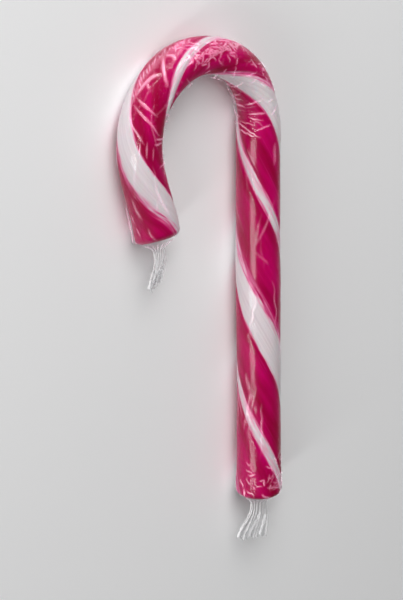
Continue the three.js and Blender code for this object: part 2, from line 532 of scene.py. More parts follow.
@dataclass(frozen=True)
class PulledSugar:
    """Pulled sugar in twisted bands, with silky streaks along them and a soft bleed where colour meets white.

    The borders' sizes are shares of a turn. Stops pair a level with a brightness of the grain or a whiteness.
    """

    band_widths: tuple[float, ...]
    deep_rose: Colour = (0.34, 0.0, 0.04, 1.0)
    bright_rose: Colour = (0.57, 0.0, 0.125, 1.0)
    milky_rose: Colour = (0.74, 0.03, 0.25, 1.0)
    bleed: Colour = (0.82, 0.17, 0.38, 1.0)
    white: Colour = (0.81, 0.735, 0.755, 1.0)
    grey_white: Colour = (0.73, 0.64, 0.67, 1.0)
    wobble: Grain = Grain(1.3, 5.0, 3.0)
    patches: Grain = Grain(1.3, 5.0, 2.0)
    streaks: Grain = Grain(11.0, 4.0, 3.0, 0.6)
    silk: Grain = Grain(33.0, 6.0, 2.0)
    frays: Grain = Grain(8.0, 14.0, 3.0, 0.55)
    bright_patches: Stops = ((0.35, 0.0), (0.65, 1.0))
    milky_threads: Stops = ((0.6, 0.0), (0.8, 0.5))
    grey_streaks: Stops = ((0.35, 1.0), (0.6, 0.0))
    bleed_rise: Stops = ((0.0, 0.0), (0.5, 1.0))
    white_rise: Stops = ((0.45, 0.0), (0.95, 1.0))
    border_wobble: float = 0.012
    sharp_border: float = 0.011
    soft_before: float = 0.03
    soft_after: float = 0.06
    soft_whiteness: float = 0.3
    narrow_whiteness: float = 0.84
    feathering: float = 10.0
    silk_roughness: Stops = ((0.3, 0.35), (0.7, 0.5))
    silk_in_relief: float = 0.3
    relief_strength: float = 0.5
    relief_height: float = 0.00006
    index: float = 1.22
    scatter: float = 0.3
    scatter_reach: tuple[float, float, float] = (1.0, 0.35, 0.5)
    scatter_depth: float = 0.0008

    def material(self) -> bpy.types.Material:
        """Builds the finish.

        Returns:
            The material, which reads the rod's turn and length coordinates.
        """
        w = Wiring(bpy.data.materials.new("pulled_sugar"))
        place = self.place(w)
        streak = self.grain(w, place, self.streaks)
        silk = self.grain(w, place, self.silk)
        whiteness = self.feather(w, self.whiteness(w, place), self.grain(w, place, self.frays))
        rose = self.rose(w, streak, self.grain(w, place, self.patches))
        white = w.blend(w.ramp(streak, self.grey_streaks), self.white, self.grey_white)
        edged = w.blend(w.ramp(whiteness, self.bleed_rise), rose, self.bleed)
        height = w.plus(w.times(streak, 1 - self.silk_in_relief), w.times(silk, self.silk_in_relief))
        relief = {"Strength": self.relief_strength, "Distance": self.relief_height, "Height": height}
        inputs = {
            "Base Color": w.blend(w.ramp(whiteness, self.white_rise), edged, white),
            "Roughness": w.ramp(silk, self.silk_roughness),
            "Normal": w.add("ShaderNodeBump", relief).outputs["Normal"],
            "IOR": self.index,
            "Subsurface Weight": self.scatter,
            "Subsurface Radius": self.scatter_reach,
            "Subsurface Scale": self.scatter_depth,
        }
        return w.finish(w.add("ShaderNodeBsdfPrincipled", inputs))

    def place(self, w: Wiring) -> BandPlace:
        """Reads where each point is on the bands.

        Args:
            w: The material being wired.

        Returns:
            The sockets with its turn and its length.
        """
        bands = w.add("ShaderNodeUVMap", uv_map="bands").outputs[0]
        turn, length = w.add("ShaderNodeSeparateXYZ", {"Vector": bands}).outputs[:2]
        angle = w.times(turn, FULL_TURN)
        return BandPlace(turn, w.maths(Maths.COSINE, angle), w.maths(Maths.SINE, angle), length)

    def grain(self, w: Wiring, place: BandPlace, grain: Grain) -> Socket:
        """Reads grain that closes on itself round the rod.

        Args:
            w: The material being wired.
            place: Where it is read.
            grain: The grain's sizes.

        Returns:
            The socket with the grain's brightness.
        """
        loop = {
            "X": w.times(place.cosine, grain.round_rod),
            "Y": w.times(place.sine, grain.round_rod),
            "Z": w.times(place.length, grain.along_rod),
        }
        vector = w.add("ShaderNodeCombineXYZ", loop).outputs[0]
        return w.noise(vector, 1.0, grain.layers, grain.strength)

    def whiteness(self, w: Wiring, place: BandPlace) -> Socket:
        """Tells the white bands from the coloured ones, with the wide white one's first border soft.

        Args:
            w: The material being wired.
            place: Where it is read.

        Returns:
            The socket with 1 on the wide white band, a little less on the narrow one and 0 on the others.
        """
        wobble = w.times(w.minus(self.grain(w, place, self.wobble), 0.5), self.border_wobble)
        wide_end, narrow_start, narrow_end = np.cumsum(self.band_widths[:3]) / sum(self.band_widths)
        stops = (
            (0.0, self.soft_whiteness),
            (self.soft_after, 1.0),
            (wide_end - self.sharp_border, 1.0),
            (wide_end + self.sharp_border, 0.0),
            (narrow_start - self.sharp_border, 0.0),
            (narrow_start + self.sharp_border, self.narrow_whiteness),
            (narrow_end - self.sharp_border, self.narrow_whiteness),
            (narrow_end + self.sharp_border, 0.0),
            (1 - self.soft_before, 0.0),
            (1.0, self.soft_whiteness),
        )
        return w.ramp(w.maths(Maths.FRACTION, w.plus(place.turn, wobble)), stops)

    def feather(self, w: Wiring, whiteness: Socket, frays: Socket) -> Socket:
        """Frays the borders of the bands into streaks."""
        part = w.times(whiteness, w.minus(1.0, whiteness))
        return w.plus(whiteness, w.times(part, w.times(w.minus(frays, 0.5), self.feathering)))

    def rose(self, w: Wiring, streak: Socket, patch: Socket) -> Socket:
        """Colours the coloured bands, deep and bright in patches, with paler threads."""
        base = w.blend(w.ramp(patch, self.bright_patches), self.deep_rose, self.bright_rose)
        return w.blend(w.ramp(streak, self.milky_threads), base, self.milky_rose)


@dataclass(frozen=True)
class ClearFilm:
    """Thin clear film, which mirrors more at a slant.

    Its creases lay a hazy sheen and some milk over what shows through them. The milk is flushed with the
    candy's pink. Gathered past the rod, the film is a little grey and its milk is white. Only the outer face
    mirrors, so the index and the mirror's share stand for both faces.
    """

    gloss: float = 0.11
    index: float = 1.47
    mirror_share: float = 0.52
    clear: Colour = (0.99, 0.985, 0.99, 1.0)
    gathered: Colour = (0.87, 0.87, 0.875, 1.0)
    blush: Colour = (1.0, 0.42, 0.68, 1.0)
    white: Colour = (1.0, 1.0, 1.0, 1.0)
    crease_start: float = 0.12
    most_milky: float = 0.4
    most_hazy: float = 0.29
    haze: float = 0.42
    crinkle_scale: float = 900.0
    crinkle_layers: float = 3.0
    crinkle_layer_strength: float = 0.6
    crinkle_strength: float = 0.22
    crinkle_height: float = 0.0001

    def material(self) -> bpy.types.Material:
        """Builds the finish.

        Returns:
            The material, which reads the crease and gather values of the film's mesh.
        """
        w = Wiring(bpy.data.materials.new("clear_film"))
        normal = self.crinkle(w)
        outside = w.minus(1.0, w.add("ShaderNodeNewGeometry").outputs["Backfacing"])
        gather = w.add("ShaderNodeAttribute", attribute_name="gather").outputs["Fac"]
        crease = w.times(w.add("ShaderNodeAttribute", attribute_name="crease").outputs["Fac"], outside)

        milky = w.ramp(crease, ((self.crease_start, 0.0), (1.0, self.most_milky)))
        flush = w.blend(gather, self.blush, self.white)
        milk_colour = w.blend(1.0, milky, flush, Blending.MULTIPLY)
        milk = w.add("ShaderNodeBsdfDiffuse", {"Color": milk_colour, "Normal": normal})
        hazy = w.ramp(crease, ((self.crease_start, 0.0), (1.0, self.most_hazy)))
        haze_inputs = {"Color": hazy, "Roughness": self.haze, "Normal": normal}
        haze = w.add("ShaderNodeBsdfAnisotropic", haze_inputs)
        creased = w.add("ShaderNodeAddShader", {0: milk.outputs[0], 1: haze.outputs[0]})
        through = w.blend(gather, self.clear, self.gathered)
        clear = w.add("ShaderNodeBsdfTransparent", {"Color": through})
        body = w.add("ShaderNodeAddShader", {0: clear.outputs[0], 1: creased.outputs[0]})

        gloss_inputs = {"Color": self.white, "Roughness": self.gloss, "Normal": normal}
        gloss = w.add("ShaderNodeBsdfAnisotropic", gloss_inputs)
        slant = w.add("ShaderNodeFresnel", {"IOR": self.index, "Normal": normal}).outputs[0]
        mirrored = w.times(w.times(slant, outside), self.mirror_share)
        return w.finish(w.add("ShaderNodeMixShader", {0: mirrored, 1: body.outputs[0], 2: gloss.outputs[0]}))

    def crinkle(self, w: Wiring) -> Socket:
        """Crinkles the film finely.

        Args:
            w: The material being wired.

        Returns:
            The socket with the way that the crinkled film faces.
        """
        place = w.add("ShaderNodeTexCoord").outputs["Object"]
        height = w.noise(place, self.crinkle_scale, self.crinkle_layers, self.crinkle_layer_strength)
        inputs = {"Strength": self.crinkle_strength, "Distance": self.crinkle_height, "Height": height}
        return w.add("ShaderNodeBump", inputs).outputs["Normal"]


@dataclass(frozen=True)
class PaleFloor:
    """Smooth pale card, faintly and evenly mottled."""

    light: Colour = (0.93, 0.93, 0.93, 1.0)
    shade: Colour = (0.91, 0.91, 0.915, 1.0)
    mottling: float = 12.0
    roughness: float = 0.75

    def material(self) -> bpy.types.Material:
        """Builds the finish.

        Returns:
            The material.
        """
        w = Wiring(bpy.data.materials.new("pale_card"))
        place = w.add("ShaderNodeTexCoord").outputs["Object"]
        colour = w.blend(w.noise(place, self.mottling), self.light, self.shade)
        inputs = {"Base Color": colour, "Roughness": self.roughness}
        return w.finish(w.add("ShaderNodeBsdfPrincipled", inputs))


@dataclass(frozen=True)
class SugarRod:
    """The candy itself: one rod of twisted sugar, finely ridged, with blunt and slightly dished ends."""

    section: Section
    name: str = "sugar_rod"
    columns: int = 128
    ring_step: float = 0.6
    rim_rings: int = 8
    face_rings: int = 7
    hub_share: float = 0.05
    face_dish: float = 0.35
    ridge_height: float = 0.022
    ridge_counts: tuple[int, ...] = (9, 14, 22, 31)
    ridge_pace: Span = (0.03, 0.09)
    ridge_wander: float = 0.8
    ridge_seed: int = 7
    underside: float = 0.1
    length_unit: float = 100.0

    def rings(self) -> tuple[np.ndarray, np.ndarray]:
        """Lays the rings out.

        Returns:
            Each ring's distance from the foot, and its share of the full section.
        """
        section = self.section
        length, rounding = section.route.length, section.rim_rounding
        flat_share = float(section.rim_share(QUARTER_TURN))
        face = np.linspace(self.hub_share, flat_share, self.face_rings, endpoint=False)
        dish = self.face_dish * (1 - (face / flat_share) ** 2)
        turns = np.linspace(QUARTER_TURN, 0, self.rim_rings)
        insets = np.concatenate([dish, section.rim_inset(turns)])
        shares = np.concatenate([face, section.rim_share(turns)])
        plain = np.linspace(rounding, length - rounding, round(length / self.ring_step))[1:-1]
        along = np.concatenate([insets, plain, length - insets[::-1]])
        share = np.concatenate([shares, np.ones(len(plain)), shares[::-1]])
        return along, share

    def ridges(self, band_turn: np.ndarray, along: np.ndarray) -> np.ndarray:
        """Raises fine ridges that run with the twist, where the sugar was pulled.

        Args:
            band_turn: Radians round the bands, one for each column.
            along: Distances from the foot, one for each ring.

        Returns:
            The ridges' height, a row for each ring.
        """
        source = np.random.default_rng(self.ridge_seed)
        height = np.zeros((len(along), len(band_turn)))
        for count in self.ridge_counts:
            phase = source.uniform(0, FULL_TURN)
            drift = source.uniform(0, FULL_TURN)
            wander = Wave(self.ridge_wander, source.uniform(*self.ridge_pace), drift)
            height += np.sin(count * band_turn + phase + wander.at(along)[:, None])
        return self.ridge_height * height / len(self.ridge_counts)

    def build(self, skin: Skin) -> bpy.types.Object:
        """Makes the rod.

        Args:
            skin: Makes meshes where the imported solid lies.

        Returns:
            The rod, with its turn and length coordinates.
        """
        along, share = self.rings()
        half_band = math.radians(self.section.band_widths[0] / 2)
        band_turn = np.arange(self.columns) / self.columns * FULL_TURN - half_band
        angle = band_turn[None] + self.section.twist(along)[:, None]
        points = self.section.skin(along, share, angle, self.ridges(band_turn, along) * share[:, None])
        points[..., 2] = np.maximum(points[..., 2], self.underside)
        hubs = np.stack([points[0].mean(axis=0), points[-1].mean(axis=0)])
        faces = skin.quads(len(points), self.columns) + self.fans(len(points))
        rod = skin.piece(self.name, np.concatenate([points.reshape(-1, 3), hubs]), faces)
        self.mark(rod, along, share)
        return rod

    def fans(self, rings: int) -> list[list[int]]:
        """Closes the cut ends, each with a fan round the point in its middle.

        Args:
            rings: How many rings the rod has.

        Returns:
            The points of each face.
        """
        faces = []
        foot_hub = rings * self.columns
        last_ring = foot_hub - self.columns
        for column in range(self.columns):
            beside = (column + 1) % self.columns
            faces.append([foot_hub, column, beside])
            faces.append([foot_hub + 1, last_ring + beside, last_ring + column])
        return faces

    def mark(self, rod: bpy.types.Object, along: np.ndarray, share: np.ndarray) -> None:
        """Gives every corner of a face its turn round the bands and its length along the rod.

        Args:
            rod: The rod, with its faces in the order they were made in.
            along: Each ring's distance from the foot.
            share: Each ring's share of the full section.
        """
        way_out = np.where(np.arange(len(along)) < len(along) / 2, End.FOOT.value, End.HOOK.value)
        reach = (along + way_out * self.section.radius * (1 - share)) / self.length_unit
        near = np.arange(self.columns) / self.columns
        middle = near + 0.5 / self.columns
        far = near + 1 / self.columns
        turns = np.stack([near, near, far, far], axis=-1)
        lengths = np.stack([reach[:-1], reach[1:], reach[1:], reach[:-1]], axis=-1)
        sides = np.stack(np.broadcast_arrays(turns[None], lengths[:, None]), axis=-1)
        fan_turns = np.stack([middle, near, far, middle, far, near], axis=-1)
        fan_lengths = np.repeat(reach[[0, -1]], 3)
        fans = np.stack(np.broadcast_arrays(fan_turns, fan_lengths), axis=-1)
        places = np.concatenate([sides.reshape(-1, 2), fans.reshape(-1, 2)])
        rod.data.uv_layers.new(name="bands").data.foreach_set("uv", places.astype(np.float32).ravel())

    def dress(self, rod: bpy.types.Object, finish: PulledSugar) -> None:
        """Gives the rod its finish."""
        rod.data.materials.append(finish.material())


@dataclass(frozen=True)
class Fixed:
    """A size that is always the same."""

    middle: float

    def draw(self, source: np.random.Generator) -> float:
        """Gives the size, and draws nothing."""
        return self.middle


@dataclass(frozen=True)
class Even:
    """A random size, spread evenly between two limits."""

    low: float
    high: float

    @property
    def middle(self) -> float:
        """Halfway between the limits."""
        return (self.low + self.high) / 2

    def draw(self, source: np.random.Generator) -> float:
        """Draws one size."""
        return source.uniform(self.low, self.high)


@dataclass(frozen=True)
class About:
    """A random size, most often near a middle."""

    middle: float
    spread: float

    def draw(self, source: np.random.Generator) -> float:
        """Draws one size."""
        return source.normal(self.middle, self.spread)


Size = Fixed | Even | About


@dataclass(frozen=True)
class Crease:
    """One crease in the film: a low ridge on the unrolled surface of the rod, in millimetres and radians.

    A heading of 0 runs along the rod. The crease may curve to one side by its bend, and weave by its wave.
    """

    along: float
    angle: float
    heading: float
    length: float
    width: float
    height: float
    bend: float
    wave: float
    wave_length: float


@dataclass(frozen=True)
class CreaseGroup:
    """Creases of one kind: how many there are, and how each of their sizes varies.

    Each crease lies a step further along than the one before it. The slant is how far the group turns round
    the rod over each millimetre along it.
    """

    count: int
    along: Size
    angle: Size
    heading: Size
    length: Size
    width: Size
    height: Size
    bend: Size = Fixed(0.0)
    wave: Size = Fixed(0.0)
    wave_length: Size = Fixed(2.0)
    step: float = 0.0
    slant: float = 0.0

    def strew(self, source: np.random.Generator) -> list[Crease]:
        """Draws the creases, each one's sizes in the order of the fields.

        Args:
            source: Where the random sizes come from.

        Returns:
            The creases.
        """
        creases = []
        for index in range(self.count):
            along = self.along.draw(source) + self.step * index
            creases.append(
                Crease(
                    along=along,
                    angle=self.angle.draw(source) + self.slant * (along - self.along.middle),
                    heading=self.heading.draw(source),
                    length=self.length.draw(source),
                    width=self.width.draw(source),
                    height=self.height.draw(source),
                    bend=self.bend.draw(source),
                    wave=self.wave.draw(source),
                    wave_length=self.wave_length.draw(source),
                )
            )
        return creases


@dataclass(frozen=True)
class Fold:
    """One fold in the film, on a smooth path of distances from the bend's end and degrees round the rod."""

    path: tuple[Span, ...]
    width: float
    height: float
    steps_per_span: int = 6

    def smooth_path(self, radius: float) -> np.ndarray:
        """Rounds the path's corners.

        Args:
            radius: The radius that the film is unrolled at.

        Returns:
            Points along the path, in millimetres along and round the rod.
        """
        given = np.array(self.path) * (1, math.radians(radius))
        spread = np.arange(len(given)) * self.steps_per_span
        at = np.arange(spread[-1] + 1)
        path = np.stack([np.interp(at, spread, given[:, axis]) for axis in (0, 1)], axis=-1)
        for _ in range(self.steps_per_span):
            path[1:-1] = (path[:-2] + 2 * path[1:-1] + path[2:]) / 4
        return path


@dataclass(frozen=True)
class CreaseMap:
    """All the creases and folds of the film, the highest one counting where they cross.

    A crease reaches the rings within its window, a share of its length. A fold reaches those within its
    margin, so many times its width.
    """

    route: Route
    radius: float = 6.0
    seed: int = 12
    crease_window: float = 0.7
    fold_margin: float = 3.0
    fold_ends: Span = (0.04, 0.96)
    fold_taper: float = 0.6

    def inner_pleats(self) -> CreaseGroup:
        """Pleats the film across the rod, where it is pressed together inside the crook.

        Returns:
            The group.
        """
        return CreaseGroup(
            count=130,
            along=Even(self.route.stem_length - 4, self.route.bend_end + 6),
            angle=About(HALF_TURN, 0.6),
            heading=About(QUARTER_TURN, 0.35),
            length=Even(3, 7),
            width=Even(0.18, 0.36),
            height=Even(0.1, 0.34),
            bend=About(0, 0.04),
            wave=Even(0, 0.15),
        )

    def ripples(self, count: int, along: About, angle: About, slant: float = 0.0) -> CreaseGroup:
        """Gathers short curled ripples round one place.

        Args:
            count: How many there are.
            along: Their distances from the foot.
            angle: Their angles round the rod.
            slant: How far the group turns round the rod over each millimetre along it.

        Returns:
            The group.
        """
        return CreaseGroup(
            count=count,
            along=along,
            angle=angle,
            heading=Even(0, HALF_TURN),
            length=Even(1.6, 3.8),
            width=Even(0.2, 0.3),
            height=Even(0.12, 0.3),
            bend=About(0, 0.2),
            wave=Even(0, 0.2),
            wave_length=Even(1.6, 3.0),
            slant=slant,
        )

    def hatch(self) -> CreaseGroup:
        """Hatches the outer side of the leg with close slanted ripples, beside its forked fold.

        Returns:
            The group.
        """
        return CreaseGroup(
            count=19,
            along=Fixed(self.route.bend_end - 29),
            angle=About(0.08, 0.1),
            heading=About(0.95, 0.15),
            length=Even(2.2, 4.2),
            width=Fixed(0.25),
            height=Even(0.12, 0.24),
            step=0.95,
        )

    def long_folds(self) -> CreaseGroup:
        """Folds the film shallowly, all along the rod.

        Returns:
            The group.
        """
        return CreaseGroup(
            count=70,
            along=Even(0, self.route.length),
            angle=Even(0, FULL_TURN),
            heading=About(0.12, 0.3),
            length=Even(6, 20),
            width=Even(0.22, 0.6),
            height=Even(0.04, 0.15),
            bend=About(0, 0.008),
            wave=Even(0, 0.3),
            wave_length=Even(4, 9),
        )

    def groups(self) -> list[CreaseGroup]:
        """Lists the groups of creases, with ripples gathered on the crook and round the foot.

        Returns:
            The groups, in the order that they are drawn in.
        """
        crown = self.route.crown
        return [
            self.inner_pleats(),
            self.ripples(84, About(crown - 0.5, 4.0), About(1.1, 0.25), slant=0.04),
            self.ripples(16, About(crown - 9, 2.5), About(0.5, 0.15)),
            self.ripples(30, About(crown - 17, 6.0), About(0.9, 0.5)),
            self.hatch(),
            self.long_folds(),
            self.ripples(12, About(crown + 6.5, 1.8), About(0.33, 0.14)),
            self.ripples(54, About(4.0, 3.2), About(1.6, 1.1)),
        ]

    def leg_folds(self) -> list[Fold]:
        """Lists the leg's folds: a forked one at its top, slanted ones further down and a flare in the lap.

        Returns:
            The folds.
        """
        fork = [
            Fold(((-22.4, 9), (-20.2, 32), (-18.4, 55), (-17.2, 73)), width=0.42, height=0.26),
            Fold(((-18.2, 40), (-17.4, 28), (-15.2, 20), (-11.2, 10)), width=0.5, height=0.24),
            Fold(((-22.4, 13), (-23.6, 29), (-23.2, 42)), width=0.5, height=0.2),
            Fold(((-28.4, 22), (-25.4, 15), (-21.8, 12), (-17.4, 10), (-13.0, 2)), width=1.3, height=0.075),
            Fold(((-27.2, -6), (-21.6, -15), (-16.0, -28)), width=0.6, height=0.1),
            Fold(((-30.4, -4), (-27.2, 19), (-25.0, 31), (-22.4, 42)), width=0.75, height=0.1),
        ]
        slants = [
            Fold(((-15.6, 18), (-14.2, 39)), width=0.34, height=0.17),
            Fold(((-11.6, 17), (-10.6, 48), (-9.2, 85)), width=0.28, height=0.24),
            Fold(((-10.0, 17), (-8.4, 48), (-7.0, 75), (-4.2, 103)), width=0.29, height=0.25),
            Fold(((-9.0, 9), (-6.0, 23), (-4.2, 47), (-2.0, 63)), width=0.27, height=0.22),
            Fold(((-2.6, 54), (1.4, 53)), width=0.26, height=0.18),
            Fold(((-2.6, 71), (1.8, 71)), width=0.26, height=0.18),
            Fold(((-1.2, 90), (2.8, 87)), width=0.26, height=0.14),
            Fold(((-1.5, 118), (4.5, 128), (10.0, 120)), width=0.4, height=0.16),
            Fold(((12.0, 13), (16.0, 18), (19.2, 28)), width=0.44, height=0.13),
            Fold(((17.8, -6), (21.2, 2)), width=0.34, height=0.16),
            Fold(((22.2, 3), (26.0, 13)), width=0.3, height=0.14),
        ]
        flared_lap = Fold(((16.0, -32), (22.0, -38), (30.0, -36)), width=0.3, height=0.55)
        return [*fork, *slants, flared_lap]

    def height(self, along: np.ndarray, angle: np.ndarray) -> np.ndarray:
        """Puts the creases and folds together.

        Args:
            along: One distance from the foot for each ring, rising.
            angle: One angle round the rod for each column.

        Returns:
            How far they lift the film, a row for each ring.
        """
        source = np.random.default_rng(self.seed)
        lifted = np.zeros((len(along), len(angle)))
        for group in self.groups():
            for crease in group.strew(source):
                self.raise_crease(lifted, crease, along, angle)
        for fold in self.leg_folds():
            self.raise_fold(lifted, fold, along, angle)
        return lifted

    def raise_crease(self, lifted: np.ndarray, crease: Crease, along: np.ndarray, angle: np.ndarray) -> None:
        """Adds one crease.

        Args:
            lifted: The height so far, which grows.
            crease: The crease.
            along: One distance from the foot for each ring, rising.
            angle: One angle round the rod for each column.
        """
        reach = self.crease_window * crease.length
        low, high = np.searchsorted(along, [crease.along - reach, crease.along + reach])
        ahead = (along[low:high] - crease.along)[:, None]
        aside = nearest_turn(angle - crease.angle) * self.radius
        run = ahead * math.cos(crease.heading) + aside * math.sin(crease.heading)
        off = aside * math.cos(crease.heading) - ahead * math.sin(crease.heading)
        off = off - crease.bend * run**2 - crease.wave * np.sin(FULL_TURN * run / crease.wave_length)
        taper = np.clip(1 - (2 * run / crease.length) ** 2, 0, 1)
        raised = crease.height * taper * np.exp(-((off / crease.width) ** 2))
        lifted[low:high] = np.maximum(lifted[low:high], raised)

    def raise_fold(self, lifted: np.ndarray, fold: Fold, along: np.ndarray, angle: np.ndarray) -> None:
        """Adds one fold, which thins out towards its ends.

        Args:
            lifted: The height so far, which grows.
            fold: The fold.
            along: One distance from the foot for each ring, rising.
            angle: One angle round the rod for each column.
        """
        path = fold.smooth_path(self.radius)
        margin = self.fold_margin * fold.width
        past_bend = along - self.route.bend_end
        low, high = np.searchsorted(past_bend, [path[:, 0].min() - margin, path[:, 0].max() + margin])
        middle = path[:, 1].mean() / self.radius
        ahead = past_bend[low:high, None]
        aside = (nearest_turn(angle - middle) + middle) * self.radius
        raised = np.zeros((high - low, len(angle)))
        spans = len(path) - 1
        for index in range(spans):
            start, step = path[index], path[index + 1] - path[index]
            share = ((ahead - start[0]) * step[0] + (aside - start[1]) * step[1]) / (step @ step)
            share = np.clip(share, 0, 1)
            gap = np.hypot(ahead - start[0] - share * step[0], aside - start[1] - share * step[1])
            taper = np.sin(math.pi * np.clip((index + share) / spans, *self.fold_ends)) ** self.fold_taper
            raised = np.maximum(raised, taper * np.exp(-((gap / fold.width) ** 2)))
        lifted[low:high] = np.maximum(lifted[low:high], fold.height * raised)


@dataclass(frozen=True)
class FilmRings:
    """Rings of film: their points, how sharply creased each is and how far it is gathered past the rod."""

    points: np.ndarray
    crease: np.ndarray
    gather: np.ndarray

    def backwards(self) -> "FilmRings":
        """The same rings, the last one first."""
        return FilmRings(self.points[::-1], self.crease[::-1], self.gather[::-1])

    def joined(self, *others: "FilmRings") -> "FilmRings":
        """Puts other rings after these.

        Args:
            *others: The other rings, in order.

        Returns:
            All the rings.
        """
        every = [self, *others]
        return FilmRings(
            np.concatenate([rings.points for rings in every]),
            np.concatenate([rings.crease for rings in every]),
            np.concatenate([rings.gather for rings in every]),
        )


@dataclass(frozen=True)
class Rim:
    """The rim that a tail starts from: its radius, and how far in from the cut end it is."""

    radius: float
    inset: float


@dataclass(frozen=True)
class GatheredTail:
    """One gathered end of the film.

    It draws in over a ruffled shoulder to a ridged neck, and fans out into a flat pleated edge. The edge is
    turned round the rod, and has drifted by its lift and sway. The pleats, crinkles and teeth go by how far
    to the side of the tail a point is, from -1 to 1.
    """

    end: End
    turn: float
    lift: float
    sway: float
    shoulder_length: float = 3.2
    shoulder_rings: int = 14
    shoulder_ruffle: float = 0.55
    shoulder_milk: float = 1.2
    length: float = 13.0
    fan_rings: int = 46
    neck_wide: float = 2.0
    neck_thick: float = 1.3
    neck_ridges: int = 9
    neck_ridge_drift: Wave = Wave(0.7, 2.0)
    neck_ruffle: float = 0.16
    neck_milk: float = 0.9
    edge_wide: float = 4.2
    edge_thick: float = 0.08
    pleat_height: float = 0.8
    pleats: tuple[Wave, ...] = (
        Wave(1.0, 2.5 * math.pi),
        Wave(0.3, 5.3 * math.pi, 1.3),
        Wave(0.22, 9.1 * math.pi, 0.5),
    )
    pleat_milk: float = 0.7
    crinkle_height: float = 0.22
    crinkle_sideways: Span = (17.0, 5.0)
    crinkle_lengthways: Span = (1.1, 2.3)
    tooth_depth: float = 0.35
    tooth_width: float = 1.2

    @property
    def reach(self) -> np.ndarray:
        """How far past the rim each ring is, as a column."""
        shoulder = np.linspace(0, self.shoulder_length, self.shoulder_rings + 1)[1:]
        fan = np.linspace(self.shoulder_length, self.length, self.fan_rings + 1)[1:]
        return np.concatenate([shoulder, fan])[:, None]

    def edge_column(self, columns: int) -> int:
        """The column that runs along the tail's edge."""
        return round(self.turn / FULL_TURN * columns)

    def crinkle(self, side: np.ndarray) -> np.ndarray:
        """Crinkles the fan finely.

        Args:
            side: How far to the side of the tail each column is.

        Returns:
            The crinkles' height, a row for each ring.
        """
        first, second = (
            np.sin(sideways * side + lengthways * self.reach)
            for sideways, lengthways in zip(self.crinkle_sideways, self.crinkle_lengthways)
        )
        return self.crinkle_height * first * second

    def rings(self, section: Section, angle: np.ndarray, rim: Rim) -> FilmRings:
        """Shapes the tail.

        Args:
            section: The rod.
            angle: Each column's angle round the rod.
            rim: The rim that the tail starts from.

        Returns:
            The rings, outwards from the rim.
        """
        turn = self.edge_column(len(angle)) / len(angle) * FULL_TURN
        from_edge = angle - turn
        side = np.cos(from_edge)
        drawn_in = (1 - np.clip(self.reach / self.shoulder_length, 0, 1)) ** 2
        fanned = smoothstep(self.reach, self.shoulder_length, self.length)
        shoulder = drawn_in * (1 - drawn_in)
        neck = (1 - drawn_in) * (1 - fanned)

        half_wide = mix(mix(self.neck_wide, self.edge_wide, fanned), rim.radius, drawn_in)
        half_thick = mix(mix(self.neck_thick, self.edge_thick, fanned), rim.radius, drawn_in)
        ridge = np.abs(np.sin(self.neck_ridges * from_edge + self.neck_ridge_drift.at(from_edge)))
        ruffled = 1 + (self.shoulder_ruffle * shoulder + self.neck_ruffle * neck) * ridge
        pleat = sum(wave.at(side) for wave in self.pleats)
        raised = fanned * (self.pleat_height * pleat + self.crinkle(side))
        across = self.sway * fanned**2 + side * half_wide * ruffled
        through = self.lift * fanned**2 + np.sin(from_edge) * half_thick * ruffled + raised
        tooth = np.abs(np.mod(side * self.edge_wide / self.tooth_width, 1) - 0.5) * 2 * self.tooth_depth
        out = self.reach - tooth * fanned**4 - rim.inset

        sideways = across * math.cos(turn) - through * math.sin(turn)
        upwards = across * math.sin(turn) + through * math.cos(turn)
        if self.end is End.HOOK:
            out = out - drawn_in * section.slid_back(sideways, upwards)
        milky = self.pleat_milk * fanned * np.abs(pleat)
        milky = milky + (self.shoulder_milk * shoulder + self.neck_milk * neck) * ridge
        gather = np.broadcast_to(smoothstep(self.reach, 0.0, self.shoulder_length), milky.shape)
        return FilmRings(self.placed(section.route, out, sideways, upwards), np.clip(milky, 0, 1), gather)

    def placed(self, route: Route, out: np.ndarray, sideways: np.ndarray, upwards: np.ndarray) -> np.ndarray:
        """Places points off the cut end.

        Args:
            route: The rod's middle line.
            out: How far out of the cut end they are.
            sideways: How far towards the outer side of the crook.
            upwards: How far up from the middle.

        Returns:
            The points.
        """
        cut = route.places(np.array([route.length if self.end is End.HOOK else 0.0]))
        points = cut.middle[0] + out[..., None] * cut.forward[0] * self.end.value
        return points + sideways[..., None] * cut.outward[0] + upwards[..., None] * UP


